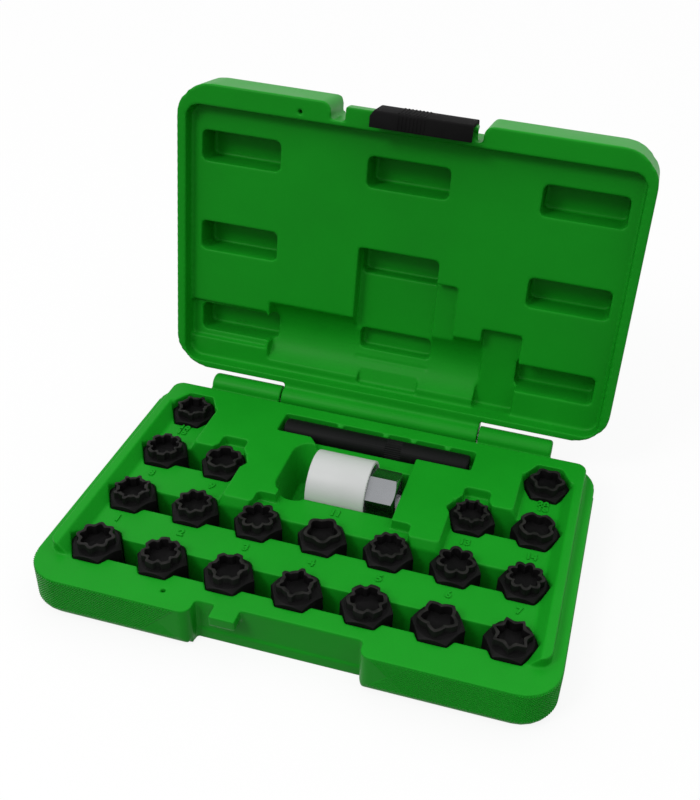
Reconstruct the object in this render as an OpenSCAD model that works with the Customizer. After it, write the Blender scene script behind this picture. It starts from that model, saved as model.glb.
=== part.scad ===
// Set of twenty locking wheel nut keys with a driver and a drift, in a hinged moulded case.
// The origin is the middle of the case's underside. X runs along the case, Y from front to back.
// The lid and its latch are drawn closed and then swung open about the hinge.

/* [Case] */
// Width of the border beside the outer pockets
side_border = 11.8; // [11.4:0.1:14]
// Depth of the front border ahead of the pockets
front_border = 15.7; // [14:0.1:20]
// Depth of the border behind the rear pockets
rear_border = 13.3; // [13:0.1:16]
// Height of the base up to the parting plane
base_h = 23.5; // [23:0.5:30]
// Height of the lid above the parting plane
lid_h = 28; // [27.5:0.5:31]
// Radius of the case's upright corners
corner_r = 18; // [10:1:24]
// Rounding of the base's lower edge
base_edge_r = 6; // [3:0.5:8]
// Rounding of the lid's outer edge
lid_edge_r = 5; // [3:0.5:10]
// Gap between the two halves when they are shut
parting_gap = 0.3; // [0.2:0.05:0.6]
// How far the lid stands open
lid_open = 98.7; // [80:0.1:110]

/* [Hinge] */
// Distance of the hinge axis behind the rear wall
hinge_back = 8.4; // [7.8:0.1:10]
// Place of the hinge's middle along the case
hinge_x = -1.5; // [-2:0.1:2]
// Radius of the knuckles
knuckle_r = 6; // [4:0.1:6.5]
// Length of each base knuckle
knuckle_len = 41.5; // [25:0.5:42]
// Half length of the lid's knuckle
lid_knuckle_half = 57.8; // [40:0.1:58]
// Gap between a lid knuckle's end and a base knuckle
knuckle_gap = 0.7; // [0.3:0.1:2]
// Diameter of the hinge pin
pin_d = 3; // [2:0.1:4]
// Clearance round the pin on each side
pin_clear = 0.05; // [0.03:0.01:0.1]
// How far the pin stops short of a knuckle's outer end
pin_inset = 1; // [0.5:0.1:3]
// Width of the fillet where a base knuckle runs into the rear wall
bulge_fillet = 5; // [2:0.5:8]

/* [Tray] */
// Inset of the raised tongue from the case's sides
tongue_inset = 5.9; // [5.2:0.1:8]
// Inset of the tongue from the rear wall
tongue_back = 5; // [4.8:0.1:7]
// Height of the tongue and the plateau above the parting plane
tongue_h = 6; // [4:0.1:6.6]
// Width of the tongue's flat top
tongue_top = 3.8; // [3:0.1:6]
// Width of the slope on the tongue's inner side
tongue_slope = 6.3; // [3:0.1:8]
// Width of the slope round the plateau
plateau_slope = 3; // [1:0.1:4]
// Diameter of the small blowing hole in each rim
blow_d = 2.4; // [1:0.1:3]
// Place of the blowing holes left of the middle
blow_x = 58; // [50:0.5:80]
// Depth of the blowing holes
blow_depth = 6; // [2:0.5:9]

/* [Keys] */
// Width of a key's hexagon across flats
key_af = 22; // [18:0.5:23]
// Clearance of a key in its pocket on each side
key_clear = 0.4; // [0.2:0.1:1]
// Distance between the columns of keys
pitch_x = 33.35; // [31:0.05:34]
// Distance between the rows of keys
pitch_y = 36.8; // [36:0.1:37.8]
// Thickness under the pockets
pocket_floor = 4; // [3:0.5:6]
// Height of a key's shoulder above the parting plane
shoulder_h = 2.3; // [0:0.1:3]
// Height of a key's crown above its shoulder
crown_h = 4.1; // [3.8:0.1:4.4]
// Mean inner radius of the crowns
crown_r = 6.8; // [5.5:0.1:7.2]
// Wall of the crowns
crown_wall = 1.7; // [1:0.1:2]
// Depth of the splined recess from the crown's top
recess_depth = 5.2; // [4.5:0.1:9]
// Width of the finger channel between the pockets
channel_w = 14.2; // [8:0.1:18]
// Width of the label notches behind four of the pockets
notch_w = 13.6; // [10:0.1:20]
// Reach of the label notches behind the middle of their pocket
notch_reach = 17.8; // [15:0.1:20]

/* [Driver] */
// Wall of the steel body at the corners of its hexagonal recess
socket_wall = 1.5; // [1.2:0.1:1.7]
// Wall of the plastic sleeve
sleeve_wall = 1.6; // [1.2:0.1:2]
// Length of the plastic sleeve
sleeve_len = 31.3; // [24:0.1:34]
// Running clearance between the sleeve and the steel body
sleeve_clear = 0.05; // [0.02:0.01:0.2]
// Width across flats of the hexagonal end
driver_af = 22; // [17:0.5:22]
// Length of the hexagonal end beyond the sleeve
driver_hex_len = 14.5; // [8:0.1:16]
// Clearance round a key's hexagon in the driver
driver_clear = 0.15; // [0.1:0.05:0.5]
// Depth of the hexagonal recess for the keys
driver_recess = 16; // [8:0.5:20]
// Width of the square drive
square_w = 12.9; // [9:0.1:13]
// Depth of the square drive
square_depth = 14; // [8:0.5:18]
// How far the driver is rolled about its axis
driver_roll = 12; // [0:1:60]
// Place of the sleeve's left end
sleeve_x = -18.5; // [-20:0.1:-15]
// Place of the driver's axis behind the third row of keys
driver_behind = 5.1; // [4.8:0.1:6.5]
// Clearance round the driver in its cavity
driver_gap = 0.3; // [0.2:0.1:1]

/* [Drift] */
// Diameter of the drift
drift_d = 12; // [8:0.5:12]
// Length of the drift
drift_len = 103.5; // [90:0.5:105]
// Gap between the drift's ends and the slot
slot_gap = 2.4; // [1:0.1:3]
// Width of the knurled band
knurl_len = 9; // [5:0.5:20]
// Place of the knurled band right of the drift's middle
knurl_x = 10.3; // [-20:0.1:20]
// Depth of the knurl's grooves
knurl_depth = 0.4; // [0.2:0.05:0.6]
// Number of grooves in the knurl
knurl_n = 30; // [16:1:40]
// Place of the drift's middle along the case
drift_x = 5.4; // [4:0.1:7]
// Place of the drift's axis behind the rear row of keys
drift_behind = 2.9; // [2:0.1:3.2]
// Height of the drift's top above the parting plane
drift_top = 7.5; // [6:0.1:7.7]
// Width of the drift's slot
slot_w = 15.8; // [14:0.1:16.5]
// Gap between the lugs and the drift
lug_gap = 0.3; // [0.2:0.05:0.8]

/* [Lid] */
// Depth of the lid's inner panel above the parting plane
panel_h = 8; // [7.8:0.1:9]
// Width of the lid's rim at the sides
rim_side = 4.3; // [4:0.1:5.2]
// Width of the lid's rim at the hinge
rim_back = 3.9; // [3.5:0.1:4.6]
// Width of the lid's rim at the latch
rim_front = 11.3; // [11:0.1:15]
// Width of the deep pockets in the lid
dimple_w = 44.2; // [30:0.2:46]
// Height of the deep pockets in the lid
dimple_d = 16.4; // [10:0.2:18]
// Depth of the deep pockets above the parting plane
dimple_depth = 25; // [20:0.5:25.5]
// Distance between the columns of deep pockets
dimple_pitch_x = 92.4; // [86:0.1:92.6]
// Distance between the rows of deep pockets
dimple_pitch_y = 50.1; // [46:0.1:50.4]
// Place of the upright slot's left edge in the lid
lid_slot_x = 49.3; // [48:0.1:52]
// Width of the upright slot in the lid
lid_slot_w = 22.2; // [15:0.1:24]
// Radius of the hollow over the drift
trough_r = 21; // [19:0.5:22]

/* [Latch] */
// Left end of the latch recess
recess_left = 41.8; // [41:0.1:50]
// Radius of the rounded mouth of the latch recess
mouth_r = 5; // [2:0.5:6]
// Flare of the latch recess at the case's outer faces
flare = 3.5; // [2:0.1:4.5]
// Depth of the latch recess behind the front wall
recess_d = 8.8; // [8.7:0.1:11]
// Length of the slide
slide_len = 52.3; // [46:0.1:53]
// Place of the slide's left end when it is unlocked
slide_x = -19.2; // [-19.4:0.1:-18.5]
// Room in the recess beyond the slide's right end
slide_room = 4.3; // [3:0.1:6]
// Travel of the slide
slide_travel = 18; // [14:0.5:20]
// Wall of the slide
slide_wall = 1.8; // [1.2:0.1:2]
// Gap between the slide and the rail
slide_gap = 0.3; // [0.2:0.05:0.5]
// Height of the rail that the slide runs on
rail_h = 7.7; // [6.5:0.1:7.8]
// Thickness of the rail
rail_t = 7.7; // [6:0.1:9]
// Height of the catch tab below the parting plane
tab_h = 5.6; // [4:0.1:7]
// Left end of the catch tab
tab_x = -32.4; // [-34:0.1:-32.2]
// Length of the catch tab
tab_len = 12.3; // [8:0.1:12.6]
// Reach of the slide's lips
lip_reach = 8.5; // [7.6:0.1:8.7]
// Number of grip ribs on the slide
grip_n = 8; // [4:1:10]

/* [Hidden] */
pocket_r = (key_af / 2 + key_clear) / cos(30);
case_w = 6 * pitch_x + 2 * pocket_r + 2 * side_border;
case_d = front_border + key_af + 2 * key_clear + 3 * pitch_y + rear_border;
front_y = -case_d / 2;
rear_y = case_d / 2;
side_x = case_w / 2;
hinge_y = rear_y + hinge_back;
hinge_z = base_h + parting_gap / 2;
top_z = base_h + tongue_h;
lid_z = base_h + parting_gap;
lid_top = base_h + lid_h;
tongue_x = side_x - tongue_inset;
tongue_y = rear_y - tongue_back;
border_y = front_y + front_border;
knuckle_in = lid_knuckle_half + knuckle_gap;
knuckle_out = knuckle_in + knuckle_len;
row_y = [for (j = [0:3]) border_y + key_af / 2 + key_clear + j * pitch_y];
col_x = [for (i = [0:6]) (i - 3) * pitch_x];
crown_top = base_h + shoulder_h + crown_h;
plateau_x = col_x[6] - pocket_r - 0.4;
block_x = col_x[5] - pocket_r + 2.3;
driver_y = row_y[2] + driver_behind;
drift_y = row_y[3] + drift_behind;
body_d = 2 * (key_af / 2 + driver_clear) / cos(30) + 2 * socket_wall;
sleeve_d = body_d + 2 * (sleeve_clear + sleeve_wall);
cavity_front = driver_y - sleeve_d / 2 - driver_gap;
cavity_rear = driver_y + sleeve_d / 2 + 1;
cavity_floor = base_h - sleeve_d / 2;
hex_x = sleeve_x + sleeve_len;
driver_end = hex_x + driver_hex_len;
cavity_x = driver_end + 2.5;
drift_z = base_h + drift_top - drift_d / 2;
slot_floor = drift_z - drift_d / 2;
slot_x0 = drift_x - drift_len / 2 - slot_gap;
slot_x1 = drift_x + drift_len / 2 + slot_gap;
low_ridge_z = base_h + 2;
dimple_top = base_h + dimple_depth;
sleeve_room = base_h + sleeve_d / 2 + 0.8;
recess_y = front_y + recess_d;
recess_right = slide_x + slide_len + slide_room;
rail_y = recess_y - rail_h;
slide_y = rail_y - slide_gap - slide_wall;
lip_y = slide_y + lip_reach;
slide_z0 = base_h - tab_h - 0.4 - slide_wall;
slide_z1 = lid_z + rail_t + slide_gap + slide_wall;
dimple_y = [for (j = [0:2]) front_y + 34.1 + j * dimple_pitch_y];
trough_y = drift_y - 5.3;
green = [0.13, 0.62, 0.16];
black = [0.1, 0.1, 0.1];
steel = [0.75, 0.76, 0.78];

// Place of each key: its column and row
PLACES = concat(
    [for (i = [0:6]) [i, 0]],
    [for (i = [0:6]) [i, 1]],
    [for (i = [0, 1, 5, 6]) [i, 2]],
    [for (i = [0, 6]) [i, 3]]);

// Spline of each key: the number of lobes, their kind, their height and the turn.
// Kinds are 0 wave, 1 square, 2 star, 3 points outward, 4 scallop, 5 narrow teeth, 6 narrow grooves.
SPLINES = [
    [8, 0, 0.8, 10], [7, 6, 0.8, 0], [6, 1, 0.8, 15], [6, 5, 0.9, 30], [6, 6, 0.8, 20], [5, 2, 1.3, 55], [7, 3, 1.2, 12],
    [8, 5, 0.8, 0], [9, 0, 0.8, 0], [8, 4, 1.1, 20], [5, 0, 0.9, 0], [10, 0, 0.6, 8], [7, 4, 1.2, 0], [9, 4, 1.0, 0],
    [8, 6, 0.8, 12], [5, 6, 0.9, 30], [9, 5, 0.7, 0], [4, 6, 1.0, 45],
    [7, 5, 0.8, 25], [6, 0, 0.9, 0]];

function arc(c, r, a0, a1, n = 8) =
    [for (i = [0:n]) c + r * [cos(a0 + (a1 - a0) * i / n), sin(a0 + (a1 - a0) * i / n)]];

// Outline of a rectangle with rounded corners
function round_rect(x0, x1, y0, y1, r, n = 6) = concat(
    arc([x1 - r, y1 - r], r, 0, 90, n),
    arc([x0 + r, y1 - r], r, 90, 180, n),
    arc([x0 + r, y0 + r], r, 180, 270, n),
    arc([x1 - r, y0 + r], r, 270, 360, n));

function limit(v) = max(-1, min(1, v));

// Height of a spline's lobe at phase t, from -1 to 1
function lobe(kind, t) =
    kind == 0 ? cos(t) :
    kind == 1 ? limit(2.5 * cos(t)) :
    kind == 2 ? 4 * abs(t / 360 - floor(t / 360) - 0.5) - 1 :
    kind == 3 ? 1 - 2 * abs(sin(t / 2)) :
    kind == 4 ? 2 * abs(cos(t / 2)) - 1 :
    kind == 5 ? limit(3 * cos(t) - 1.5) :
    limit(3 * cos(t) + 1.5);

// Closed outline of a splined ring, grown outward by a wall
function spline_points(s, grow) =
    [for (i = [0:12 * s[0] - 1])
        let (a = 360 * i / (12 * s[0]), r = crown_r + grow + s[2] * lobe(s[1], s[0] * a))
        [r * cos(a + s[3]), r * sin(a + s[3])]];

module block(x0, x1, y0, y1, z0, z1)
    translate([x0, y0, z0]) cube([x1 - x0, y1 - y0, z1 - z0]);

module round_block(x0, x1, y0, y1, z0, z1, r)
    translate([0, 0, z0]) linear_extrude(z1 - z0) polygon(round_rect(x0, x1, y0, y1, r));

// A block whose sides slope outward towards its foot
module sloped_block(x0, x1, y0, y1, z0, z1, slope, r)
    hull() {
        translate([0, 0, z1 - 0.02]) linear_extrude(0.02) polygon(round_rect(x0, x1, y0, y1, r));
        translate([0, 0, z0]) linear_extrude(0.02)
            polygon(round_rect(x0 - slope, x1 + slope, y0 - slope, y1 + slope, r + slope / 2));
    }

// A solid slab with a rounded lower edge
module slab(height, edge)
    hull() {
        for (t = [0:22.5:90])
            translate([0, 0, edge * (1 - sin(t))]) linear_extrude(0.02)
                polygon(round_rect(-side_x + edge * (1 - cos(t)), side_x - edge * (1 - cos(t)),
                    front_y + edge * (1 - cos(t)), rear_y - edge * (1 - cos(t)), corner_r - edge * (1 - cos(t))));
        translate([0, 0, height - 0.02]) linear_extrude(0.02)
            polygon(round_rect(-side_x, side_x, front_y, rear_y, corner_r));
    }

// The recess in the front wall, with rounded mouth and corners
module latch_recess(z0, z1)
    translate([0, 0, z0]) linear_extrude(z1 - z0)
        polygon(concat(
            arc([-recess_left - mouth_r, front_y + mouth_r], mouth_r, -90, 0, 6),
            arc([-recess_left + 1.5, recess_y - 1.5], 1.5, 180, 90, 3),
            arc([recess_right - 1.5, recess_y - 1.5], 1.5, 90, 0, 3),
            arc([recess_right + mouth_r, front_y + mouth_r], mouth_r, 180, 270, 6),
            [[recess_right + mouth_r, front_y - 5], [-recess_left - mouth_r, front_y - 5]]));

// The flare of the recess towards the case's outer face, drawn for the underside
module recess_flare() {
    translate([-recess_left, 0, 0]) rotate([90, 0, 90]) linear_extrude(recess_left + recess_right)
        polygon([[recess_y - 1, -1], [recess_y + flare, -1], [recess_y + flare, 0], [recess_y, flare + 1], [recess_y - 1, flare + 1]]);
    translate([0, recess_y, 0]) rotate([90, 0, 0]) linear_extrude(recess_d + 5)
        polygon([[-recess_left - flare, -1], [recess_right + flare, -1], [recess_right + flare, 0],
            [recess_right, flare + 1], [-recess_left, flare + 1], [-recess_left - flare, 0]]);
}

module along_x(x0, x1, r)
    translate([x0, 0, 0]) rotate([0, 90, 0]) cylinder(h = x1 - x0, r = r, $fn = 64);

module hinge_bore()
    translate([0, hinge_y, hinge_z]) along_x(-side_x, side_x, pin_d / 2 + pin_clear);

// Swings what is drawn closed to where the open lid stands
module in_lid()
    translate([0, hinge_y, hinge_z]) rotate([-lid_open, 0, 0]) translate([0, -hinge_y, -hinge_z]) children();

module pocket_plan() {
    for (p = PLACES)
        translate([col_x[p[0]], row_y[p[1]]]) circle(r = pocket_r, $fn = 6);
    for (j = [0, 1])
        translate([col_x[0], row_y[j] - channel_w / 2]) square([col_x[6] - col_x[0], channel_w]);
    for (i = [0, 5])
        translate([col_x[i], row_y[2] - channel_w / 2]) square([pitch_x, channel_w]);
}

module label_notch(i, j)
    round_block(col_x[i] - notch_w / 2, col_x[i] + notch_w / 2, row_y[j], row_y[j] + notch_reach,
        base_h, top_z + 1, 2);

// The knuckle behind the rear wall and the bulge that carries it, for one side
module base_knuckle() {
    translate([knuckle_in, hinge_y, hinge_z]) rotate([0, 90, 0]) rotate_extrude($fn = 64)
        polygon(concat([[0, 0], [knuckle_r, 0]], arc([knuckle_r - 1.6, knuckle_len - 1.6], 1.6, 0, 90, 4),
            [[0, knuckle_len]]));
    translate([0, 0, base_h - 13]) linear_extrude(13 - parting_gap)
        polygon(concat(
            [[knuckle_in, rear_y - 2], [knuckle_in, hinge_y]],
            [[knuckle_out - 3, hinge_y]],
            arc([knuckle_out - 3, hinge_y - 3], 3, 90, 0, 4),
            arc([knuckle_out + bulge_fillet, rear_y + bulge_fillet], bulge_fillet, 180, 270, 5),
            [[knuckle_out + bulge_fillet, rear_y - 2]]));
}

module case_base()
    color(green) {
        difference() {
            union() {
                slab(base_h, base_edge_r);
                // Tongue round the sides and the back, with a sloping inner side
                difference() {
                    round_block(-tongue_x, tongue_x, border_y + 1, tongue_y, base_h - 2, top_z, 6);
                    hull() {
                        translate([0, 0, base_h]) linear_extrude(0.02)
                            polygon(round_rect(-tongue_x + tongue_top + tongue_slope, tongue_x - tongue_top - tongue_slope,
                                front_y, tongue_y - tongue_top - tongue_slope / 2, 5));
                        translate([0, 0, top_z + 1]) linear_extrude(0.02)
                            polygon(round_rect(-tongue_x + tongue_top, tongue_x - tongue_top,
                                front_y, tongue_y - tongue_top, 5));
                    }
                }
                // Plateau round the driver and the drift, and the raised strip at the back
                sloped_block(-plateau_x, plateau_x, row_y[2] + 7, tongue_y - plateau_slope, base_h - 1, top_z, plateau_slope, 3);
                round_block(-tongue_x, tongue_x, row_y[3] + 2, tongue_y, base_h - 1, top_z, 6);
                for (m = [0, 1]) mirror([m, 0, 0])
                    sloped_block(cavity_x, block_x, row_y[1] + 9.3, row_y[3], base_h - 1, top_z, plateau_slope, 2);
                for (m = [0, 1]) translate([hinge_x, 0, 0]) mirror([m, 0, 0]) base_knuckle();
            }
            translate([0, 0, pocket_floor]) linear_extrude(top_z + 1 - pocket_floor) pocket_plan();
            for (p = [[1, 2], [5, 2], [2, 1], [4, 1]]) label_notch(p[0], p[1]);
            // Cavity of the driver, with a finger well at its left end
            block(sleeve_x - 1.2, cavity_x, cavity_front, cavity_rear, cavity_floor, top_z + 1);
            hull() {
                translate([0, 0, top_z + 1]) linear_extrude(0.02)
                    polygon(round_rect(sleeve_x - 16.1, sleeve_x + 2, driver_y - 22, driver_y + 21.5, 9));
                translate([0, 0, cavity_floor]) linear_extrude(0.02)
                    polygon(round_rect(sleeve_x - 11.5, sleeve_x + 2, driver_y - 13, driver_y + 14, 5));
            }
            // Slot of the drift, open to the cavity over a low ridge
            round_block(slot_x0, slot_x1, drift_y - slot_w / 2, drift_y + slot_w / 2, slot_floor, top_z + 1, 1);
            translate([0, 0, low_ridge_z]) linear_extrude(top_z)
                polygon([[sleeve_x - 12, drift_y - slot_w / 2 + 1], [sleeve_x - 2, driver_y + 17],
                    [cavity_x, driver_y + 14], [cavity_x, drift_y - slot_w / 2 + 1]]);
            // The open strip in front of the driver
            block(sleeve_x - 12, cavity_x, row_y[1] + 8, cavity_front + 1, base_h, top_z + 1);
            latch_recess(-1, top_z);
            recess_flare();
            translate([-blow_x, front_y + 9.8, base_h - blow_depth]) cylinder(h = blow_depth + 1, d = blow_d, $fn = 24);
            hinge_bore();
        }
        // Lugs that hold the drift
        for (x = [-17.3, 8.8, 24.5, 43.8])
            block(x - 1.5, x + 1.5, drift_y + drift_d / 2 + lug_gap, drift_y + slot_w / 2 + 1, base_h + 0.5, top_z - 0.8);
        // Tab that the slide catches
        block(tab_x, tab_x + tab_len, recess_y - rail_h, recess_y + 1, base_h - tab_h, base_h);
    }

module lid_dimple(x, y)
    round_block(x - dimple_w / 2, x + dimple_w / 2, y - dimple_d / 2, y + dimple_d / 2, base_h, dimple_top, 3);

module lid_closed() {
    difference() {
        union() {
            difference() {
                translate([0, 0, lid_top]) mirror([0, 0, 1]) slab(lid_h - parting_gap, lid_edge_r);
                latch_recess(base_h, lid_top + 1);
                translate([0, 0, lid_top]) mirror([0, 0, 1]) recess_flare();
            }
            // Rail of the latch
            block(slide_x - 15, slide_x + slide_len + 1, rail_y, recess_y + 1, lid_z, lid_z + rail_t);
            // Knuckle and the web that carries it
            translate([0, hinge_y, hinge_z]) along_x(hinge_x - lid_knuckle_half, hinge_x + lid_knuckle_half, knuckle_r);
            block(hinge_x - lid_knuckle_half, hinge_x + lid_knuckle_half, rear_y - 2, hinge_y, lid_z, lid_z + 8);
        }
        // Inner panel
        round_block(-side_x + rim_side, side_x - rim_side, front_y + rim_front, rear_y - rim_back,
            base_h - 1, base_h + panel_h, 8);
        for (i = [-1, 1]) for (j = [0:2]) lid_dimple(i * dimple_pitch_x, dimple_y[j]);
        lid_dimple(0, dimple_y[0]);
        // Room for the driver
        round_block(sleeve_x - 5, hex_x + 8, dimple_y[1] - dimple_d / 2, driver_y + 39, base_h, sleeve_room, 2);
        lid_dimple(-0.6, dimple_y[1]);
        round_block(sleeve_x - 2.3, hex_x + 7.7, driver_y + 19.8, driver_y + 32.7, base_h, dimple_top, 3);
        round_block(hex_x + 7, cavity_x + 3.6, driver_y - 16.9, driver_y + 21, base_h, base_h + key_af / 2 / cos(30) + 0.9, 2);
        translate([-18.3, 0, 0]) rotate([90, 0, 90]) linear_extrude(34.6)
            polygon([[driver_y + 31, base_h], [driver_y + 51.2, base_h], [driver_y + 51.2, base_h + 11],
                [driver_y + 31, sleeve_room - 0.5]]);
        // Hollow over the drift
        translate([0, trough_y, base_h + panel_h - sqrt(trough_r * trough_r - 18 * 18)]) along_x(-73, lid_slot_x + 1, trough_r);
        round_block(lid_slot_x, lid_slot_x + lid_slot_w, drift_y - 30.5, rear_y - rim_back - 0.2, base_h, base_h + 16, 1.5);
        // Step round the lower left pocket
        round_block(-side_x + rim_side + 0.2, -74, dimple_y[2] - 10.5, dimple_y[2] + 11.9, base_h, base_h + 11, 2);
        // Grooves under the rail's head
        block(slide_x - 20, recess_right, rail_y + 2.5, recess_y - 0.6, lid_z + rail_t - 2.4, lid_z + rail_t + 1);
        block(slide_x + 10, recess_right, rail_y + 2.5, recess_y - 0.6, base_h, lid_z + 2.3);
        translate([-blow_x, front_y + 7.2, base_h]) cylinder(h = blow_depth, d = blow_d, $fn = 24);
        hinge_bore();
    }
}

module case_lid()
    color(green) in_lid() lid_closed();

module hinge_pin()
    color(steel) translate([0, hinge_y, hinge_z])
        along_x(hinge_x - knuckle_out + pin_inset, hinge_x + knuckle_out - pin_inset, pin_d / 2);

// A slide of C section that wraps the lid's rail and, when it is pushed left, the base's tab
module slide_closed() {
    x0 = slide_x;
    x1 = slide_x + slide_len;
    difference() {
        union() {
            difference() {
                translate([x0, 0, 0]) rotate([90, 0, 90]) linear_extrude(slide_len)
                    polygon(concat(
                        arc([slide_y + 1, slide_z0 + 1], 1, 270, 180, 3),
                        arc([slide_y + 2.2, slide_z1 - 2.2], 2.2, 180, 90, 5),
                        [[lip_y, slide_z1], [lip_y, slide_z0]]));
                block(x0 - 1, x1 + 1, slide_y + slide_wall, lip_y + 1, slide_z0 + slide_wall, slide_z1 - slide_wall);
            }
            // Lips that run in the rail's grooves
            block(x0, x1, rail_y + 2.5 + slide_gap, rail_y + 4.3, lid_z + rail_t - 2.4 + slide_gap, slide_z1 - 0.5);
            block(x0 + slide_len * 0.6, x1 - 2, rail_y + 2.5 + slide_gap, rail_y + 4.3, slide_z0 + 0.5, lid_z + 2);
        }
        // The rear lip is shorter than the front one
        block(x0 - 1, x1 + 1, rail_y + 4.3, lip_y + 1, slide_z1 - slide_wall - 3, slide_z1 + 1);
        // Slanting left end
        translate([0, 0, slide_z0 - 1]) linear_extrude(slide_z1 - slide_z0 + 2)
            polygon([[x0 - 1, slide_y - 1], [x0 + 2.6, slide_y - 1], [x0, slide_y + 3], [x0 - 1, slide_y + 3]]);
        translate([x0 - 1, slide_y - 1, slide_z1]) rotate([0, 0, 0])
            rotate([-90, 0, 0]) linear_extrude(lip_reach + 3) polygon([[-1, -1], [5, -1], [-1, 9]]);
    }
    // Grip ribs across the outer face and down the front lip
    for (i = [0:grip_n - 1]) {
        block(x0 + 14 + i * 1.9, x0 + 14.9 + i * 1.9, slide_y - 0.35, slide_y + 1, slide_z0 + 1, slide_z1 - 2.4);
        block(x0 + 14 + i * 1.9, x0 + 14.9 + i * 1.9, slide_y + 1, lip_y - 0.6, slide_z0 - 0.35, slide_z0 + 1);
    }
}

module latch_slide()
    color(black) in_lid() slide_closed();

// One key: a hexagon with a chamfered shoulder and a splined crown, open upward
module key_body(s) {
    h = base_h + shoulder_h - pocket_floor;
    r = key_af / 2 / cos(30);
    difference() {
        union() {
            intersection() {
                cylinder(h = h, r = r, $fn = 6);
                rotate_extrude($fn = 64)
                    polygon([[0, 0], [r - 1, 0], [r + 0.1, 1], [r + 0.1, h - 1.8], [r - 2.2, h], [0, h]]);
            }
            translate([0, 0, h - 2]) linear_extrude(crown_h + 2) polygon(spline_points(s, crown_wall));
        }
        translate([0, 0, h + crown_h - recess_depth]) linear_extrude(recess_depth + 1) polygon(spline_points(s, 0));
    }
}

module key(k)
    color(black) translate([col_x[PLACES[k][0]], row_y[PLACES[k][1]], pocket_floor]) key_body(SPLINES[k]);

module driver_frame()
    translate([0, driver_y, base_h]) rotate([driver_roll, 0, 0]) rotate([0, 90, 0]) children();

// Steel driver: round body, hexagonal end, and a hexagonal recess for the keys
module driver_socket()
    color(steel) driver_frame() difference() {
        union() {
            translate([0, 0, sleeve_x + 0.6]) cylinder(h = sleeve_len - 1.4, d = body_d, $fn = 96);
            intersection() {
                translate([0, 0, sleeve_x + 4]) cylinder(h = driver_end - sleeve_x - 4, r = driver_af / 2 / cos(30), $fn = 6);
                translate([0, 0, driver_end]) rotate_extrude($fn = 96)
                    polygon([[0, sleeve_x - driver_end], [driver_af * 0.6, sleeve_x - driver_end], [driver_af * 0.6, -1.4], [driver_af / 2 - 0.4, 0], [0, 0]]);
            }
        }
        translate([0, 0, sleeve_x]) cylinder(h = driver_recess + 0.6, r = (key_af / 2 + driver_clear) / cos(30), $fn = 6);
        translate([-square_w / 2, -square_w / 2, driver_end - square_depth]) cube([square_w, square_w, square_depth + 1]);
    }

module driver_sleeve()
    color([0.85, 0.86, 0.86]) driver_frame() rotate_extrude($fn = 96)
        polygon(concat(
            [[sleeve_d / 2 - sleeve_wall, sleeve_x], [sleeve_d / 2 - 0.8, sleeve_x]],
            arc([sleeve_d / 2 - 0.8, sleeve_x + 0.8], 0.8, -60, 0, 3),
            arc([sleeve_d / 2 - 0.8, hex_x - 0.8], 0.8, 0, 60, 3),
            [[sleeve_d / 2 - 0.8, hex_x], [sleeve_d / 2 - sleeve_wall, hex_x]]));

// Round drift with chamfered ends and a band of straight knurling
module drift()
    color(black) translate([drift_x, drift_y, drift_z]) rotate([0, 90, 0]) difference() {
        rotate_extrude($fn = 64)
            polygon([[0, -drift_len / 2], [drift_d / 2 - 0.8, -drift_len / 2], [drift_d / 2, -drift_len / 2 + 0.8],
                [drift_d / 2, drift_len / 2 - 0.8], [drift_d / 2 - 0.8, drift_len / 2], [0, drift_len / 2]]);
        for (i = [0:knurl_n - 1])
            rotate([0, 0, 360 * i / knurl_n]) translate([drift_d / 2, 0, knurl_x])
                rotate([0, 0, 45]) cube([knurl_depth * 1.4, knurl_depth * 1.4, knurl_len], center = true);
    }

case_base();
case_lid();
hinge_pin();
latch_slide();
key(0);  // key_01
key(1);  // key_02
key(2);  // key_03
key(3);  // key_04
key(4);  // key_05
key(5);  // key_06
key(6);  // key_07
key(7);  // key_08
key(8);  // key_09
key(9);  // key_10
key(10);  // key_11
key(11);  // key_12
key(12);  // key_13
key(13);  // key_14
key(14);  // key_15
key(15);  // key_16
key(16);  // key_17
key(17);  // key_18
key(18);  // key_19
key(19);  // key_20
driver_socket();
driver_sleeve();
drift();
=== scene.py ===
import math

import bmesh
import bpy
from mathutils import Matrix, Vector


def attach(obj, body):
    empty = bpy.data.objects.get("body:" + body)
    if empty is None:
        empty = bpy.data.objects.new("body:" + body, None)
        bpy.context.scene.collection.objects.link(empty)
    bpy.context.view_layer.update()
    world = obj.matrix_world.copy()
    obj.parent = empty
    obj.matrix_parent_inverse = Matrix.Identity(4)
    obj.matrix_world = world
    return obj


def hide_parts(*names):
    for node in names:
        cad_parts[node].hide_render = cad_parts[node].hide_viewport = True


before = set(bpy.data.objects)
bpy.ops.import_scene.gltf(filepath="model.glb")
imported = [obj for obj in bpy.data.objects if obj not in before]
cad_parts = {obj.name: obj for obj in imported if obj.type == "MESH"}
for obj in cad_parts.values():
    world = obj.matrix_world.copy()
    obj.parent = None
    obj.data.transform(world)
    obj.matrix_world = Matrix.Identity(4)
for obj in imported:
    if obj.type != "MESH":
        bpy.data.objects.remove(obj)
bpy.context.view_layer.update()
MM = 0.001


# Floor and backdrop: a plain sheet of white studio paper under and behind the case.
# The camera sees it white, while the case gets only a dim bounce from it.
def linear(code):
    """An sRGB hex colour as linear red, green, blue and alpha."""
    parts = [int(code[i : i + 2], 16) / 255 for i in (1, 3, 5)]
    return [p / 12.92 if p <= 0.04045 else ((p + 0.055) / 1.055) ** 2.4 for p in parts] + [1.0]


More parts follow.
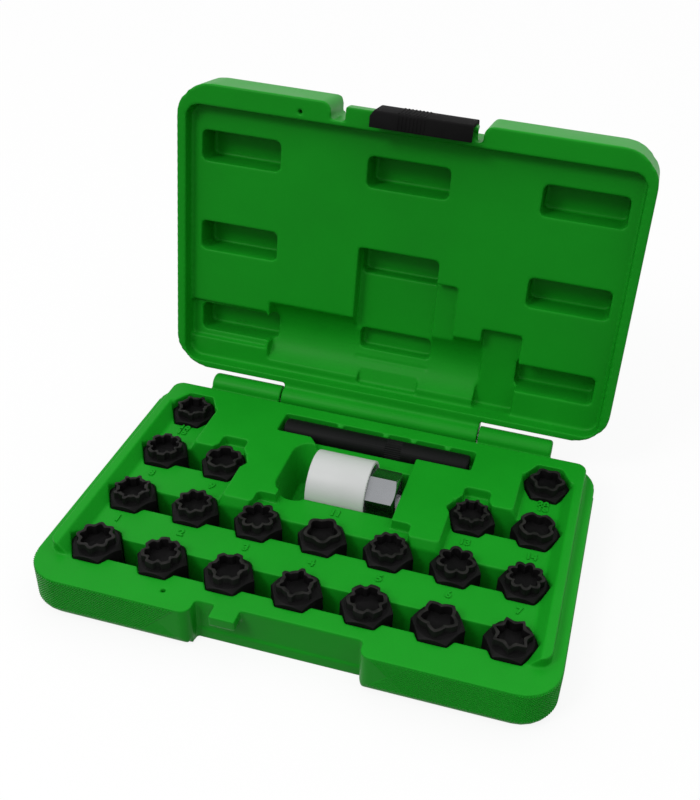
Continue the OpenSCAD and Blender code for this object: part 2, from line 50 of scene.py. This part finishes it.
def add(tree, kind, settings=None, links=None):
    """Adds one node, sets its properties and input values, and links its inputs."""
    node = tree.nodes.new(kind)
    for name, value in (settings or {}).items():
        if isinstance(name, str) and hasattr(node, name) and name not in node.inputs:
            setattr(node, name, value)
        else:
            node.inputs[name].default_value = value
    for name, source in (links or {}).items():
        tree.links.new(source, node.inputs[name])
    return node


def new_material(name):
    """An empty material and its node tree."""
    material = bpy.data.materials.new(name)
    material.use_nodes = True
    material.node_tree.nodes.clear()
    return material, material.node_tree


def seen_directly(tree):
    """1 for rays from the camera and for reflections, 0 for the light that falls on the case."""
    path = add(tree, "ShaderNodeLightPath").outputs
    rays = {0: path["Is Camera Ray"], 1: path["Is Glossy Ray"]}
    return add(tree, "ShaderNodeMath", {"operation": "MAXIMUM"}, rays).outputs[0]


def stand(name, data):
    """A new object in the scene that holds a mesh, a text, a lamp or a camera."""
    obj = bpy.data.objects.new(name, data)
    bpy.context.scene.collection.objects.link(obj)
    return obj


def mesh_object(name, points, edges, faces):
    """A new object from points, edges and faces."""
    mesh = bpy.data.meshes.new(name)
    mesh.from_pydata(points, edges, faces)
    return stand(name, mesh)


FLOOR_HALF = 3.0
FLOOR_BOUNCE = linear("#484848")
PAPER = linear("#FFFFFF")
PAPER_GLOW = 0.88
corners = [(x * FLOOR_HALF, y * FLOOR_HALF, 0) for x, y in ((-1, -1), (1, -1), (1, 1), (-1, 1))]
floor = mesh_object("floor", corners, [], [(0, 1, 2, 3)])
paper, tree = new_material("studio_paper")
shade = add(tree, "ShaderNodeBsdfDiffuse", {"Color": PAPER})
glow = add(tree, "ShaderNodeEmission", {"Color": PAPER, "Strength": 1.0})
bounce = add(tree, "ShaderNodeBsdfDiffuse", {"Color": FLOOR_BOUNCE})
bright = add(tree, "ShaderNodeMixShader", {0: PAPER_GLOW}, {1: shade.outputs[0], 2: glow.outputs[0]})
both = add(tree, "ShaderNodeMixShader", None,
           {0: seen_directly(tree), 1: bounce.outputs[0], 2: bright.outputs[0]})
add(tree, "ShaderNodeOutputMaterial", None, {"Surface": both.outputs[0]})
floor.data.materials.append(paper)

# Light: a white tent round the case gives most of it, from none at the horizon to full overhead.
# One soft box at the front left adds a little modelling. The camera sees the tent as white.
SKY_LOW, SKY_HIGH = 0.0, 1.25
BOX_PLACE, BOX_AIM = Vector((-0.75, -1.1, 1.4)), Vector((0, 0, 0.05))
BOX_WIDTH, BOX_WATTS = 0.5, 8.0
world = bpy.data.worlds.new("studio")
bpy.context.scene.world = world
world.use_nodes = True
tree = world.node_tree
tree.nodes.clear()
white = add(tree, "ShaderNodeBackground", {"Color": PAPER, "Strength": 1.0})
heading = add(tree, "ShaderNodeTexCoord").outputs["Generated"]
rise = add(tree, "ShaderNodeSeparateXYZ", None, {0: heading})
level = add(tree, "ShaderNodeMapRange", {"To Min": SKY_LOW, "To Max": SKY_HIGH}, {"Value": rise.outputs[2]})
sky = add(tree, "ShaderNodeBackground", {"Color": PAPER}, {"Strength": level.outputs[0]})
both = add(tree, "ShaderNodeMixShader", None,
           {0: seen_directly(tree), 1: sky.outputs[0], 2: white.outputs[0]})
add(tree, "ShaderNodeOutputWorld", None, {"Surface": both.outputs[0]})

lamp = bpy.data.lights.new("front_left", "AREA")
lamp.shape = "SQUARE"
lamp.size = BOX_WIDTH
lamp.energy = BOX_WATTS
soft_box = stand("front_left", lamp)
soft_box.location = BOX_PLACE
soft_box.rotation_euler = (BOX_AIM - BOX_PLACE).to_track_quat("-Z", "Y").to_euler()

# Camera: stands in front of the case, a little to the right, and looks down on it.
# Its place, tilt and focal length come from fitting the case's corners, rows and hinge.
# The photograph is cropped off centre, so its optical centre lies right of the middle.
IMAGE_W, IMAGE_H = 700, 800
FOCAL_PX = 1018.54
CENTRE_PX = (416.32, 394.82)
SENSOR = 36.0
EYE = (0.11205, -0.36624, 0.37030)
FITTED_RIGHT = Vector((0.96749, 0.24420, 0.06574))
FITTED_AHEAD = Vector((-0.16321, 0.80150, -0.57529))
ahead = FITTED_AHEAD.normalized()
up = FITTED_RIGHT.cross(ahead).normalized()
right = ahead.cross(up).normalized()
lens = bpy.data.cameras.new("camera")
lens.sensor_fit = "AUTO"
lens.sensor_width = SENSOR
lens.lens = SENSOR * FOCAL_PX / IMAGE_H
lens.shift_x = (IMAGE_W / 2 - CENTRE_PX[0]) / IMAGE_H
lens.shift_y = (CENTRE_PX[1] - IMAGE_H / 2) / IMAGE_H
lens.clip_start, lens.clip_end = 0.02, 20.0
camera = stand("camera", lens)
tilt = Matrix((right, up, -ahead)).transposed().to_4x4()
camera.matrix_world = Matrix.Translation(EYE) @ tilt
bpy.context.scene.camera = camera
bpy.context.scene.view_settings.view_transform = "Standard"

# Case: base and lid of blow-moulded polyethylene, a hollow double wall in one shot each.
# The blown skin has no sharp corner, so each half is remeshed and relaxed to round its edges.
HALF_W, HALF_D = 125.03 * MM, 81.1 * MM
PARTING_Z = 23.5 * MM
HINGE_Y, HINGE_Z = 89.5 * MM, 23.65 * MM
LID_OPEN = math.radians(98.7)
BASE_CELL, LID_CELL = 0.6 * MM, 0.7 * MM
BASE_ROUNDS, LID_ROUNDS = 5, 6
RELAX = 0.5
SHELL_TRIANGLES = 185000
CASE_GREEN = linear("#169B20")
CASE_DEEP = linear("#15971F")
CASE_PALE = linear("#189F22")


def plain_copy(node, name):
    """A merged copy of a solid's mesh as a new object."""
    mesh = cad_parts[node].data.copy()
    mesh.name = name
    work = bmesh.new()
    work.from_mesh(mesh)
    bmesh.ops.remove_doubles(work, verts=work.verts, dist=1e-6)
    work.to_mesh(mesh)
    work.free()
    return stand(name, mesh)


def settle(obj):
    """Applies an object's modifiers and drops them."""
    graph = bpy.context.evaluated_depsgraph_get()
    made = bpy.data.meshes.new_from_object(obj.evaluated_get(graph))
    obj.modifiers.clear()
    obj.data = made


def blown(node, name, cell, rounds, foot=()):
    """Rounds a moulding's edges: small cells, a few smoothing rounds, then fewer triangles.

    The blocks of its foot, given by their corners in millimetres, are joined to it first.
    """
    obj = plain_copy(node, name)
    work = bmesh.new()
    work.from_mesh(obj.data)
    for corners in foot:
        low, high = [Vector(corner) * MM for corner in corners]
        block = bmesh.ops.create_cube(work, size=1.0)["verts"]
        bmesh.ops.scale(work, vec=high - low, verts=block)
        bmesh.ops.translate(work, vec=(high + low) / 2, verts=block)
    work.to_mesh(obj.data)
    work.free()
    cells = obj.modifiers.new("cells", "REMESH")
    cells.mode = "VOXEL"
    cells.voxel_size = cell
    relax = obj.modifiers.new("relax", "SMOOTH")
    relax.factor = RELAX
    relax.iterations = rounds
    settle(obj)
    triangles = 2 * len(obj.data.polygons)
    fewer = obj.modifiers.new("fewer", "DECIMATE")
    fewer.ratio = min(1.0, SHELL_TRIANGLES / triangles)
    settle(obj)
    obj.data.shade_smooth()
    obj.data.materials.clear()
    return obj


# The green is dyed through, and the mould's blasted face leaves it satin, with soft lights.
# Tint and gloss drift a little. The skin's unevenness is drawn 1.4 mm wide, so that it shows.
MOTTLE, PEEL, PEEL_DEPTH = 41.7 * MM, 1.43 * MM, 0.2 * MM
polyethylene, tree = new_material("green_blow_moulded_polyethylene")
where = add(tree, "ShaderNodeTexCoord").outputs["Object"]
cloud = add(tree, "ShaderNodeTexNoise", {"Scale": 1 / MOTTLE, "Detail": 4.0, "Roughness": 0.55},
            {"Vector": where})
tint = add(tree, "ShaderNodeValToRGB", None, {0: cloud.outputs[0]})
tint.color_ramp.elements[0].position = 0.3
tint.color_ramp.elements[0].color = CASE_DEEP
tint.color_ramp.elements[1].position = 0.72
tint.color_ramp.elements[1].color = CASE_PALE
mid = tint.color_ramp.elements.new(0.5)
mid.color = CASE_GREEN
peel = add(tree, "ShaderNodeTexNoise", {"Scale": 1 / PEEL, "Detail": 2.0}, {"Vector": where})
skin = add(tree, "ShaderNodeBump", {"Strength": 0.22, "Distance": PEEL_DEPTH}, {"Height": peel.outputs[0]})
dull = add(tree, "ShaderNodeMapRange", {"From Min": 0.3, "From Max": 0.7, "To Min": 0.36, "To Max": 0.46},
           {"Value": cloud.outputs[0]})
body = add(tree, "ShaderNodeBsdfPrincipled", {"IOR": 1.5, "Specular IOR Level": 0.11},
           {"Base Color": tint.outputs[0], "Roughness": dull.outputs[0], "Normal": skin.outputs[0]})
add(tree, "ShaderNodeOutputMaterial", None, {"Surface": body.outputs[0]})

# The latch recess runs straight down to the floor behind and on its left: its foot is full there.
# Each block is given by its low and high corner in millimetres.
RECESS_FOOT = (
    ((-47.0, -72.8, 0), (37.4, -66.0, 6.0)),
    ((-47.0, -75.1, 0), (-41.8, -71.0, 6.0)),
    ((-47.0, -77.5, 0.3), (-42.0, -74.0, 6.0)),
    ((-47.0, -79.3, 2.0), (-43.0, -76.0, 6.0)),
)
tray = blown("case_base", "base_shell", BASE_CELL, BASE_ROUNDS, RECESS_FOOT)
tray.data.materials.append(polyethylene)
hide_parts("case_base")
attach(tray, "base")

# Rounding draws the lid's rim in a little. Its end walls are moved out by up to 0.9 mm,
# which brings the lid's outline close to the photograph's.
END_FROM, END_FULL, END_OUT = 121 * MM, 123.5 * MM, 0.9 * MM
cover = blown("case_lid", "lid_shell", LID_CELL, LID_ROUNDS)
for point in cover.data.vertices:
    share = (abs(point.co.x) - END_FROM) / (END_FULL - END_FROM)
    point.co.x += math.copysign(END_OUT * max(0.0, min(1.0, share)), point.co.x)
cover.data.materials.append(polyethylene)
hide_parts("case_lid")
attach(cover, "lid")

# Grain of the outer walls: fine slanting ribs moulded with the base, one every 1.4 mm.
# They follow the wall round the corners and cross. On the left one slant stands out more.
GRAIN_PITCH = 1.4 * MM
GRAIN_FOOT, GRAIN_TOP = 5.4 * MM, 22.6 * MM
RIB_RADIUS = 0.45 * MM
RIB_POINTS, RIB_SIDES = 8, 4
CORNER_R, CORNER_STEPS = 18 * MM, 16
MOUTH_LEFT, MOUTH_RIGHT = -47.5 * MM, 43.0 * MM
SIDE_END = 60 * MM


def socket_in(tree, name, kind, value=None):
    """A named input of a node tree."""
    made = tree.interface.new_socket(name, in_out="INPUT", socket_type=kind)
    if value is not None:
        made.default_value = value
    return made


# The ribs are laid out along a straight line: x runs along the wall, y into it, z up.
# Each point is then moved to the same length along the wall's own line.
grain = bpy.data.node_groups.new("slanting_ribs", "GeometryNodeTree")
inputs = {
    "Wall": socket_in(grain, "Wall", "NodeSocketGeometry"),
    "Pitch": socket_in(grain, "Pitch", "NodeSocketFloat", GRAIN_PITCH),
    "Foot": socket_in(grain, "Foot", "NodeSocketFloat", GRAIN_FOOT),
    "Top": socket_in(grain, "Top", "NodeSocketFloat", GRAIN_TOP),
    "Slant": socket_in(grain, "Slant", "NodeSocketFloat"),
    "Rib radius": socket_in(grain, "Rib radius", "NodeSocketFloat", RIB_RADIUS),
    "Sunk": socket_in(grain, "Sunk", "NodeSocketFloat"),
    "Plastic": socket_in(grain, "Plastic", "NodeSocketMaterial"),
}
grain.interface.new_socket("Ribs", in_out="OUTPUT", socket_type="NodeSocketGeometry")
given = add(grain, "NodeGroupInput").outputs
wall = add(grain, "GeometryNodeMeshToCurve", None, {"Mesh": given["Wall"]})
whole = add(grain, "GeometryNodeCurveLength", None, {"Curve": wall.outputs[0]})
tall = add(grain, "ShaderNodeMath", {"operation": "SUBTRACT"}, {0: given["Top"], 1: given["Foot"]})
lean = add(grain, "ShaderNodeMath", {"operation": "MULTIPLY"}, {0: tall.outputs[0], 1: given["Slant"]})
reach = add(grain, "ShaderNodeMath", {"operation": "ABSOLUTE"}, {0: lean.outputs[0]})
half = add(grain, "ShaderNodeMath", {"operation": "MULTIPLY", 1: 0.5}, {0: lean.outputs[0]})
back = add(grain, "ShaderNodeMath", {"operation": "MULTIPLY", 1: -0.5}, {0: lean.outputs[0]})
margin = add(grain, "ShaderNodeMath", {"operation": "MULTIPLY", 1: 0.5}, {0: reach.outputs[0]})
room = add(grain, "ShaderNodeMath", {"operation": "SUBTRACT"}, {0: whole.outputs[0], 1: reach.outputs[0]})
count = add(grain, "ShaderNodeMath", {"operation": "DIVIDE"}, {0: room.outputs[0], 1: given["Pitch"]})
first = add(grain, "ShaderNodeCombineXYZ", None,
            {"X": margin.outputs[0], "Y": given["Sunk"], "Z": given["Foot"]})
step = add(grain, "ShaderNodeCombineXYZ", None, {"X": given["Pitch"]})
starts = add(grain, "GeometryNodeMeshLine", {"mode": "OFFSET"},
             {"Count": count.outputs[0], "Start Location": first.outputs[0], "Offset": step.outputs[0]})
low = add(grain, "ShaderNodeCombineXYZ", None, {"X": back.outputs[0]})
high = add(grain, "ShaderNodeCombineXYZ", None, {"X": half.outputs[0], "Z": tall.outputs[0]})
spine = add(grain, "GeometryNodeCurvePrimitiveLine", None, {"Start": low.outputs[0], "End": high.outputs[0]})
parts = add(grain, "GeometryNodeResampleCurve", {"Count": RIB_POINTS}, {"Curve": spine.outputs[0]})
section = add(grain, "GeometryNodeCurvePrimitiveCircle", {"Resolution": RIB_SIDES},
              {"Radius": given["Rib radius"]})
rib = add(grain, "GeometryNodeCurveToMesh", {"Fill Caps": True},
          {"Curve": parts.outputs[0], "Profile Curve": section.outputs[0]})
rows = add(grain, "GeometryNodeInstanceOnPoints", None,
           {"Points": starts.outputs[0], "Instance": rib.outputs[0]})
flat = add(grain, "GeometryNodeRealizeInstances", None, {"Geometry": rows.outputs[0]})
place = add(grain, "GeometryNodeInputPosition")
spot = add(grain, "ShaderNodeSeparateXYZ", None, {0: place.outputs[0]})
along = add(grain, "GeometryNodeSampleCurve", {"mode": "LENGTH"},
            {"Curves": wall.outputs[0], "Length": spot.outputs[0]})
inward = add(grain, "ShaderNodeVectorMath", {"operation": "CROSS_PRODUCT", 0: (0, 0, 1)},
             {1: along.outputs["Tangent"]})
into = add(grain, "ShaderNodeVectorMath", {"operation": "SCALE"},
           {0: inward.outputs[0], "Scale": spot.outputs[1]})
rise = add(grain, "ShaderNodeCombineXYZ", None, {"Z": spot.outputs[2]})
shifted = add(grain, "ShaderNodeVectorMath", {"operation": "ADD"}, {0: into.outputs[0], 1: rise.outputs[0]})
placed = add(grain, "ShaderNodeVectorMath", {"operation": "ADD"},
             {0: along.outputs["Position"], 1: shifted.outputs[0]})
bent = add(grain, "GeometryNodeSetPosition", None,
           {"Geometry": flat.outputs[0], "Position": placed.outputs[0]})
dyed = add(grain, "GeometryNodeSetMaterial", None,
           {"Geometry": bent.outputs[0], "Material": given["Plastic"]})
add(grain, "NodeGroupOutput", None, {"Ribs": dyed.outputs[0]})


def wall_line(name, points):
    """The foot line of an outer wall, from left to right seen from the front."""
    return mesh_object(name, points, [(i, i + 1) for i in range(len(points) - 1)], [])


def bend(centre_x, start, stop):
    """Points round an upright corner of the case, from one angle to another in degrees."""
    centre_y = -HALF_D + CORNER_R
    points = []
    for i in range(CORNER_STEPS + 1):
        angle = math.radians(start + (stop - start) * i / CORNER_STEPS)
        points.append((centre_x + CORNER_R * math.cos(angle), centre_y + CORNER_R * math.sin(angle), 0))
    return points


left_line = [(-HALF_W, SIDE_END, 0)] + bend(-HALF_W + CORNER_R, 180, 270) + [(MOUTH_LEFT, -HALF_D, 0)]
right_line = [(MOUTH_RIGHT, -HALF_D, 0)] + bend(HALF_W - CORNER_R, 270, 360) + [(HALF_W, SIDE_END, 0)]

# Each row is a set of ribs, its wall, its slant, and how far it is sunk in the wall in millimetres
for name, line, slant, sunk in (
    ("grain_left_rising", left_line, 1.0, 0.08),
    ("grain_left_falling", left_line, -1.0, 0.3),
    ("grain_right_rising", right_line, 1.0, 0.16),
    ("grain_right_falling", right_line, -1.0, 0.16),
):
    ribs = wall_line(name, line)
    make = ribs.modifiers.new("ribs", "NODES")
    make.node_group = grain
    make[inputs["Slant"].identifier] = slant
    make[inputs["Sunk"].identifier] = sunk * MM
    make[inputs["Plastic"].identifier] = polyethylene
    settle(ribs)
    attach(ribs, "base")

# Index marks: plain numbers standing 0.75 mm proud of the base between the pockets.
# They are part of the moulding, so they are the case's green.
# Sizes are in millimetres. A number stands behind its key, and in the last row ahead of it.
PITCH_X, PITCH_Y = 33.35, 36.8
FIRST_ROW, LAST_ROW = -54.0, 3
ROWS = (range(7), range(7), (0, 1, 5, 6), (0, 6))
MIDDLE_COLUMN = 3
MARK_SIZE, MARK_SWELL = 5.8, 0.12
MARK_RISE, MARK_BEVEL = 0.6, 0.15
MARK_ASIDE, MARK_BEHIND, MARK_AHEAD = 0.5, 19.5, -14.0
key_places = [(column, row) for row, columns in enumerate(ROWS) for column in columns]
for count, (column, row) in enumerate(key_places, start=1):
    figure = bpy.data.curves.new("mark", "FONT")
    figure.body = str(count)
    figure.size = MARK_SIZE * MM
    figure.offset = MARK_SWELL * MM
    figure.extrude = MARK_RISE * MM
    figure.bevel_depth = MARK_BEVEL * MM
    figure.align_x, figure.align_y = "CENTER", "CENTER"
    shape = stand("mark", figure)
    graph = bpy.context.evaluated_depsgraph_get()
    mesh = bpy.data.meshes.new_from_object(shape.evaluated_get(graph))
    bpy.data.objects.remove(shape)
    across = (column - MIDDLE_COLUMN) * PITCH_X + MARK_ASIDE
    deep = FIRST_ROW + row * PITCH_Y + (MARK_AHEAD if row == LAST_ROW else MARK_BEHIND)
    mesh.transform(Matrix.Translation((across * MM, deep * MM, PARTING_Z)))
    mark = stand("index_%02d" % count, mesh)
    mark.data.materials.clear()
    mark.data.materials.append(polyethylene)
    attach(mark, "base")

# Pinch marks: where the two skins of the lid met at the floors of three pockets, the weld
# left short raised seams, 0.35 mm high. They are the case's green and turn with the lid.
# Each seam is given by its two ends in millimetres, with the lid shut.
SEAM_W, SEAM_H = 0.8, 0.35
POCKET_FLOOR = 48.5
SEAMS = (
    ((-102.0, -41.0), (-98.1, -40.5)),
    ((-96.1, -40.6), (-91.1, -40.2)),
    ((-8.2, -40.9), (0.9, -40.7)),
    ((-99.8, 59.6), (-96.6, 58.2)),
    ((-96.6, 58.2), (-92.4, 59.4)),
)
hinge = Matrix.Translation((0, HINGE_Y, HINGE_Z))
swing = hinge @ Matrix.Rotation(-LID_OPEN, 4, "X") @ hinge.inverted()
work = bmesh.new()
for (x0, y0), (x1, y1) in SEAMS:
    length = math.hypot(x1 - x0, y1 - y0)
    place = Matrix.Translation([v * MM for v in ((x0 + x1) / 2, (y0 + y1) / 2, POCKET_FLOOR)])
    lie = Matrix.Rotation(math.atan2(y1 - y0, x1 - x0), 4, "Z")
    seam = bmesh.ops.create_icosphere(work, subdivisions=2, radius=1.0)["verts"]
    bmesh.ops.scale(work, vec=[v * MM for v in (length / 2, SEAM_W / 2, SEAM_H)], verts=seam)
    bmesh.ops.transform(work, matrix=swing @ place @ lie, verts=seam)
mesh = bpy.data.meshes.new("pinch_marks")
work.to_mesh(mesh)
work.free()
mesh.shade_smooth()
mesh.materials.append(polyethylene)
seams = stand("pinch_marks", mesh)
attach(seams, "lid")

# Keys: machined steel, black phosphated. The crown's rim is painted a lighter grey, partly for the coating
# rubbed thin there and partly as painted sheen.
# Their edges are finely rounded, so they catch a little light.
FLAT_ANGLE, CREASE_ANGLE = math.radians(1), math.radians(32)
CROWN_TOP = 29.9 * MM
WEAR_AND_SHEEN_DEPTH, WEAR_AND_SHEEN_FULL = 0.5 * MM, 0.1 * MM
KEY_EDGE = 0.25 * MM


def broken_edges(node, name, width, steps=2, limit=34):
    """A copy of a solid with flat faces made whole and edges past the limit in degrees rounded."""
    obj = plain_copy(node, name)
    work = bmesh.new()
    work.from_mesh(obj.data)
    bmesh.ops.dissolve_limit(work, angle_limit=FLAT_ANGLE, verts=work.verts, edges=work.edges)
    work.to_mesh(obj.data)
    work.free()
    edge = obj.modifiers.new("edge", "BEVEL")
    edge.width = width
    edge.segments = steps
    edge.limit_method = "ANGLE"
    edge.angle_limit = math.radians(limit)
    settle(obj)
    obj.data.shade_smooth()
    obj.data.set_sharp_from_angle(angle=CREASE_ANGLE)
    obj.data.materials.clear()
    return obj


# Phosphate is matt and a little patchy. On the crown's rim a thin grey line is painted, partly rubbed wear
# and partly painted sheen.
# Its crystals are far too fine to show, so the grit is drawn 2.4 mm wide.
GRIT, PATCH, WEAR_AND_SHEEN_PATCH, GRIT_DEPTH = 2.38 * MM, 7.69 * MM, 3.85 * MM, 0.1 * MM
phosphate, tree = new_material("black_phosphate_steel")
where = add(tree, "ShaderNodeTexCoord").outputs["Object"]
grit = add(tree, "ShaderNodeTexNoise", {"Scale": 1 / GRIT, "Detail": 3.0}, {"Vector": where})
patch = add(tree, "ShaderNodeTexNoise", {"Scale": 1 / PATCH, "Detail": 4.0}, {"Vector": where})
coat = add(tree, "ShaderNodeValToRGB", None, {0: patch.outputs[0]})
coat.color_ramp.elements[0].position = 0.35
coat.color_ramp.elements[0].color = linear("#0C0C0C")
coat.color_ramp.elements[1].position = 0.7
coat.color_ramp.elements[1].color = linear("#151415")
height = add(tree, "ShaderNodeSeparateXYZ", None, {0: where})
# Painted sheen with wear: within 0.5 mm of the crown's top the colour turns a lighter grey, in random
# patches.
rim_wear_and_sheen = add(tree, "ShaderNodeMapRange", {"From Min": CROWN_TOP - WEAR_AND_SHEEN_DEPTH, "From Max": CROWN_TOP - WEAR_AND_SHEEN_FULL},
          {"Value": height.outputs[2]})
chance = add(tree, "ShaderNodeTexNoise", {"Scale": 1 / WEAR_AND_SHEEN_PATCH, "Detail": 2.0}, {"Vector": where})
pick = add(tree, "ShaderNodeMapRange", {"From Min": 0.35, "From Max": 0.65, "To Min": 0.35, "To Max": 1.0},
           {"Value": chance.outputs[0]})
wear_and_sheen = add(tree, "ShaderNodeMath", {"operation": "MULTIPLY", "use_clamp": True},
           {0: rim_wear_and_sheen.outputs[0], 1: pick.outputs[0]})
# The lighter grey of the rim stands for wear and for painted sheen.
skin = add(tree, "ShaderNodeMix", {"data_type": "RGBA", 7: linear("#2B2A29")},
           {0: wear_and_sheen.outputs[0], 6: coat.outputs[0]})
dull = add(tree, "ShaderNodeMapRange", {"To Min": 0.40, "To Max": 0.56}, {"Value": grit.outputs[0]})
rough = add(tree, "ShaderNodeBump", {"Strength": 0.3, "Distance": GRIT_DEPTH}, {"Height": grit.outputs[0]})
body = add(tree, "ShaderNodeBsdfPrincipled", {"IOR": 1.5, "Specular IOR Level": 0.09},
           {"Base Color": skin.outputs[2], "Roughness": dull.outputs[0], "Normal": rough.outputs[0]})
add(tree, "ShaderNodeOutputMaterial", None, {"Surface": body.outputs[0]})

for count in range(1, len(key_places) + 1):
    node = "key_%02d" % count
    key = broken_edges(node, "splined_" + node, KEY_EDGE)
    key.data.materials.append(phosphate)
    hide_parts(node)
    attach(key, "base")

# Driver: turned and milled steel under satin chrome, with a hexagonal end.
# Fine lines run along it, drawn about half a millimetre apart so that they show.
LINE_LENGTH, LINE_STRETCH, DRIVER_EDGE = 3.33 * MM, 6.0, 0.4 * MM
chrome, tree = new_material("satin_chrome_plate")
where = add(tree, "ShaderNodeTexCoord").outputs["Object"]
stretch = add(tree, "ShaderNodeMapping", {"Scale": (1.0, LINE_STRETCH, LINE_STRETCH)}, {"Vector": where})
lines = add(tree, "ShaderNodeTexNoise", {"Scale": 1 / LINE_LENGTH, "Detail": 3.0},
            {"Vector": stretch.outputs[0]})
gloss = add(tree, "ShaderNodeMapRange", {"To Min": 0.20, "To Max": 0.34}, {"Value": lines.outputs[0]})
body = add(tree, "ShaderNodeBsdfPrincipled", {"Base Color": linear("#909295"), "Metallic": 1.0},
           {"Roughness": gloss.outputs[0]})
add(tree, "ShaderNodeOutputMaterial", None, {"Surface": body.outputs[0]})
driver = broken_edges("driver_socket", "driver_body", DRIVER_EDGE, 3)
driver.data.materials.append(chrome)
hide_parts("driver_socket")
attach(driver, "base")

# Sleeve: a pale polypropylene tube slid over the driver, smooth and a little waxy.
# It is cut to length, so its rims are only lightly rounded.
HAZE, HAZE_DEPTH, SLEEVE_EDGE = 16.7 * MM, 0.1 * MM, 0.3 * MM
waxy, tree = new_material("polypropylene_sleeve")
where = add(tree, "ShaderNodeTexCoord").outputs["Object"]
haze = add(tree, "ShaderNodeTexNoise", {"Scale": 1 / HAZE, "Detail": 4.0}, {"Vector": where})
tint = add(tree, "ShaderNodeValToRGB", None, {0: haze.outputs[0]})
tint.color_ramp.elements[0].color = linear("#CFD1D0")
tint.color_ramp.elements[1].color = linear("#DADBDB")
fine = add(tree, "ShaderNodeBump", {"Strength": 0.1, "Distance": HAZE_DEPTH}, {"Height": haze.outputs[0]})
body = add(tree, "ShaderNodeBsdfPrincipled", {"IOR": 1.49, "Roughness": 0.45},
           {"Base Color": tint.outputs[0], "Normal": fine.outputs[0]})
add(tree, "ShaderNodeOutputMaterial", None, {"Surface": body.outputs[0]})
sleeve = broken_edges("driver_sleeve", "pale_sleeve", SLEEVE_EDGE, 2, 40)
sleeve.data.materials.append(waxy)
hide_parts("driver_sleeve")
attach(sleeve, "base")

# Drift: a round bar of black-oxided steel with a straight-knurled band right of its middle.
# It was turned, so fine rings run round it, drawn about 0.8 mm apart so that they show.
RING_PATCH, RING_STRETCH, DRIFT_EDGE = 6.25 * MM, 8.0, 0.15 * MM
oxide, tree = new_material("black_oxide_bar")
where = add(tree, "ShaderNodeTexCoord").outputs["Object"]
stretch = add(tree, "ShaderNodeMapping", {"Scale": (RING_STRETCH, 1.0, 1.0)}, {"Vector": where})
rings = add(tree, "ShaderNodeTexNoise", {"Scale": 1 / RING_PATCH, "Detail": 3.0},
            {"Vector": stretch.outputs[0]})
tint = add(tree, "ShaderNodeValToRGB", None, {0: rings.outputs[0]})
tint.color_ramp.elements[0].color = linear("#0D0E0E")
tint.color_ramp.elements[1].color = linear("#161717")
gloss = add(tree, "ShaderNodeMapRange", {"To Min": 0.46, "To Max": 0.6}, {"Value": rings.outputs[0]})
body = add(tree, "ShaderNodeBsdfPrincipled", {"IOR": 1.5, "Specular IOR Level": 0.1},
           {"Base Color": tint.outputs[0], "Roughness": gloss.outputs[0]})
add(tree, "ShaderNodeOutputMaterial", None, {"Surface": body.outputs[0]})
bar = broken_edges("drift", "knurled_drift", DRIFT_EDGE, 2, 40)
bar.data.materials.append(oxide)
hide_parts("drift")
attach(bar, "base")

# Hinge pin: steel wire through the three knuckles, cut square at both ends.
# It was drawn through a die, which leaves faint bright lines along it.
DRAWN_PATCH, DRAWN_ALONG, DRAWN_ACROSS = 2.5 * MM, 0.3, 9.0
wire, tree = new_material("drawn_steel_wire")
where = add(tree, "ShaderNodeTexCoord").outputs["Object"]
streak = add(tree, "ShaderNodeMapping", {"Scale": (DRAWN_ALONG, DRAWN_ACROSS, DRAWN_ACROSS)},
             {"Vector": where})
drawn = add(tree, "ShaderNodeTexNoise", {"Scale": 1 / DRAWN_PATCH, "Detail": 2.0},
            {"Vector": streak.outputs[0]})
gloss = add(tree, "ShaderNodeMapRange", {"To Min": 0.25, "To Max": 0.45}, {"Value": drawn.outputs[0]})
body = add(tree, "ShaderNodeBsdfPrincipled", {"Base Color": linear("#B9B9BA"), "Metallic": 1.0},
           {"Roughness": gloss.outputs[0]})
add(tree, "ShaderNodeOutputMaterial", None, {"Surface": body.outputs[0]})
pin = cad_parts["hinge_pin"]
pin.data.materials.clear()
pin.data.materials.append(wire)

# Latch slide: black moulded plastic, C-shaped, running on the lid's rail.
# The mould's spark-eroded face makes it matt. Its pores are drawn 0.9 mm wide, so that they show.
PORE, SHADE_PATCH, PORE_DEPTH, LATCH_EDGE = 0.909 * MM, 11.1 * MM, 0.1 * MM, 0.3 * MM
catch_plastic, tree = new_material("grained_black_plastic")
where = add(tree, "ShaderNodeTexCoord").outputs["Object"]
pores = add(tree, "ShaderNodeTexNoise", {"Scale": 1 / PORE, "Detail": 2.0}, {"Vector": where})
cloud = add(tree, "ShaderNodeTexNoise", {"Scale": 1 / SHADE_PATCH, "Detail": 3.0}, {"Vector": where})
tint = add(tree, "ShaderNodeValToRGB", None, {0: cloud.outputs[0]})
tint.color_ramp.elements[0].color = linear("#171717")
tint.color_ramp.elements[1].color = linear("#201F20")
pitted = add(tree, "ShaderNodeBump", {"Strength": 0.35, "Distance": PORE_DEPTH}, {"Height": pores.outputs[0]})
body = add(tree, "ShaderNodeBsdfPrincipled", {"IOR": 1.5, "Roughness": 0.7, "Specular IOR Level": 0.03},
           {"Base Color": tint.outputs[0], "Normal": pitted.outputs[0]})
add(tree, "ShaderNodeOutputMaterial", None, {"Surface": body.outputs[0]})
catch = broken_edges("latch_slide", "latch_body", LATCH_EDGE)
catch.data.materials.append(catch_plastic)
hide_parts("latch_slide")
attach(catch, "latch")
